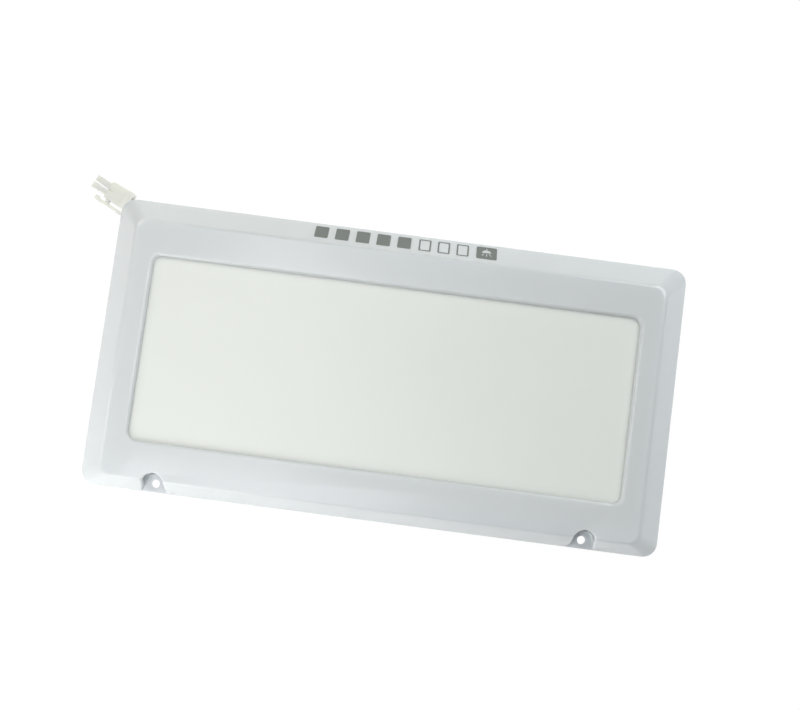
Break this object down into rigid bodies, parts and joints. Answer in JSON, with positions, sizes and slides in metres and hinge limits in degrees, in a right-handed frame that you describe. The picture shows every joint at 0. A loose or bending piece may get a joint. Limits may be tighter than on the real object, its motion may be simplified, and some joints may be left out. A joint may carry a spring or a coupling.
{
  "type": "led panel light",
  "caption": "Flat lamp panel: sloped plastic bezel with an opal window over LED strips in a rear case, two screw pockets, and a short lead with a latched two-way plug.",
  "frame": {"origin": "centre of the rear case's resting face, at the bottom centre of the panel's box without the lead and plug", "axes": "+X along the panel's long side, to the right seen from the front; +Y towards its upper edge, where the tongues are; +Z out of its window"},
  "size_m": [0.3249, 0.1653, 0.0214],
  "materials": {
    "bezel": "satin moulded pale grey",
    "diffuser": "opal, fine matt",
    "case": "moulded off-white",
    "tray": "smooth white",
    "board": "white solder mask",
    "led": "white package with yellow phosphor",
    "resistor": "black chip",
    "solder": "bright solder",
    "screw": "zinc plated",
    "grommet": "black, matt",
    "wire_dark": "dark PVC insulation",
    "wire_light": "white PVC insulation",
    "nylon": "natural nylon, slightly see-through",
    "terminal": "tinned brass"
  },
  "bodies": {
    "root": {"bezel_frame": "bezel", "diffuser_lens": "diffuser", "rear_case": "case", "reflector_tray": "tray", "led_board_upper": "board", "led_board_lower": "board", "led_01": "led", "led_02": "led", "led_03": "led", "led_04": "led", "led_05": "led", "led_06": "led", "led_07": "led", "led_08": "led", "led_09": "led", "led_10": "led", "led_11": "led", "led_12": "led", "resistor_1": "resistor", "resistor_2": "resistor", "resistor_3": "resistor", "resistor_4": "resistor", "solder_joint_1": "solder", "solder_joint_2": "solder", "board_screw_1": "screw", "board_screw_2": "screw", "board_screw_3": "screw", "board_screw_4": "screw", "case_screw_1": "screw", "case_screw_2": "screw", "case_screw_3": "screw", "case_screw_4": "screw", "case_screw_5": "screw", "case_screw_6": "screw", "wire_grommet": "grommet", "inner_lead_1": "wire_dark", "inner_lead_2": "wire_light", "link_wire_1": "wire_light", "link_wire_2": "wire_dark", "lead_wire_dark": "wire_dark", "lead_wire_light": "wire_light", "plug_housing": "nylon", "plug_terminal_1": "terminal", "plug_terminal_2": "terminal"},
    "latch": {"plug_latch": "nylon"}
  },
  "joints": [
    {"name": "latch_rock", "type": "hinge", "parent": "root", "child": "latch", "pos_m": [-0.16249, 0.07495, 0.0027], "axis": [0, 0, 1], "range_deg": [0, 7], "stiffness_Nm_per_rad": 0.05}
  ]
}
